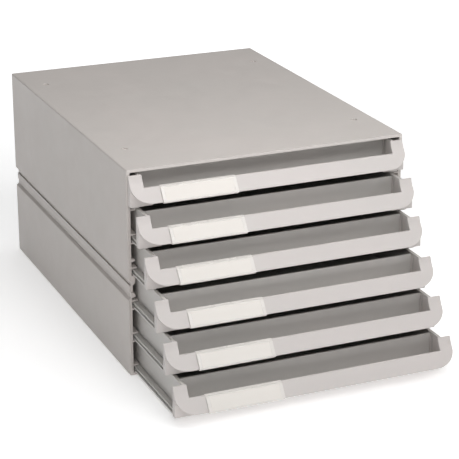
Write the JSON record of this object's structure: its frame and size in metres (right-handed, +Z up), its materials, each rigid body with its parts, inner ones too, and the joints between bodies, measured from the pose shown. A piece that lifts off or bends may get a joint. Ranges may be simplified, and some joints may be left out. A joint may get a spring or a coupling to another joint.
{
  "type": "desktop file sorter",
  "caption": "Grey plastic desktop file sorter: two stacked drawer modules whose flat open drawers slide out at the front, each with a scooped grip bar and a label.",
  "frame": {"origin": "centre of the case's base, on the surface it stands on", "axes": "+X to the right seen from the front, the drawers open towards -Y, +Z up"},
  "size_m": [0.285, 0.4872, 0.205],
  "materials": {
    "case_plastic": "light warm grey moulded plastic, fine satin grain",
    "drawer_plastic": "light warm grey moulded plastic, satin",
    "front_plastic": "light warm grey moulded plastic, smoother satin on the scooped front",
    "label_holder_plastic": "thin clear-grey plastic holder with slight gloss",
    "label_card": "blank off-white paper card"
  },
  "bodies": {
    "case": {"case_upper_shell": "case_plastic", "case_lower_shell": "case_plastic", "case_coupling_frame": "case_plastic", "case_upper_back_panel": "case_plastic", "case_lower_back_panel": "case_plastic"},
    "drawer_1": {"drawer_1_tray": "drawer_plastic", "drawer_1_front": "front_plastic", "drawer_1_label_holder": "label_holder_plastic", "drawer_1_label_card": "label_card"},
    "drawer_2": {"drawer_2_tray": "drawer_plastic", "drawer_2_front": "front_plastic", "drawer_2_label_holder": "label_holder_plastic", "drawer_2_label_card": "label_card"},
    "drawer_3": {"drawer_3_tray": "drawer_plastic", "drawer_3_front": "front_plastic", "drawer_3_label_holder": "label_holder_plastic", "drawer_3_label_card": "label_card"},
    "drawer_4": {"drawer_4_tray": "drawer_plastic", "drawer_4_front": "front_plastic", "drawer_4_label_holder": "label_holder_plastic", "drawer_4_label_card": "label_card"},
    "drawer_5": {"drawer_5_tray": "drawer_plastic", "drawer_5_front": "front_plastic", "drawer_5_label_holder": "label_holder_plastic", "drawer_5_label_card": "label_card"},
    "drawer_6": {"drawer_6_tray": "drawer_plastic", "drawer_6_front": "front_plastic", "drawer_6_label_holder": "label_holder_plastic", "drawer_6_label_card": "label_card"}
  },
  "joints": [
    {"name": "drawer_1_slide", "type": "slide", "parent": "case", "child": "drawer_1", "axis": [0, -1, 0], "range_m": [0, 0.255]},
    {"name": "drawer_2_slide", "type": "slide", "parent": "case", "child": "drawer_2", "axis": [0, -1, 0], "range_m": [-0.0203, 0.2347]},
    {"name": "drawer_3_slide", "type": "slide", "parent": "case", "child": "drawer_3", "axis": [0, -1, 0], "range_m": [-0.0392, 0.2158]},
    {"name": "drawer_4_slide", "type": "slide", "parent": "case", "child": "drawer_4", "axis": [0, -1, 0], "range_m": [-0.0634, 0.1916]},
    {"name": "drawer_5_slide", "type": "slide", "parent": "case", "child": "drawer_5", "axis": [0, -1, 0], "range_m": [-0.0841, 0.1709]},
    {"name": "drawer_6_slide", "type": "slide", "parent": "case", "child": "drawer_6", "axis": [0, -1, 0], "range_m": [-0.1058, 0.1492]}
  ]
}
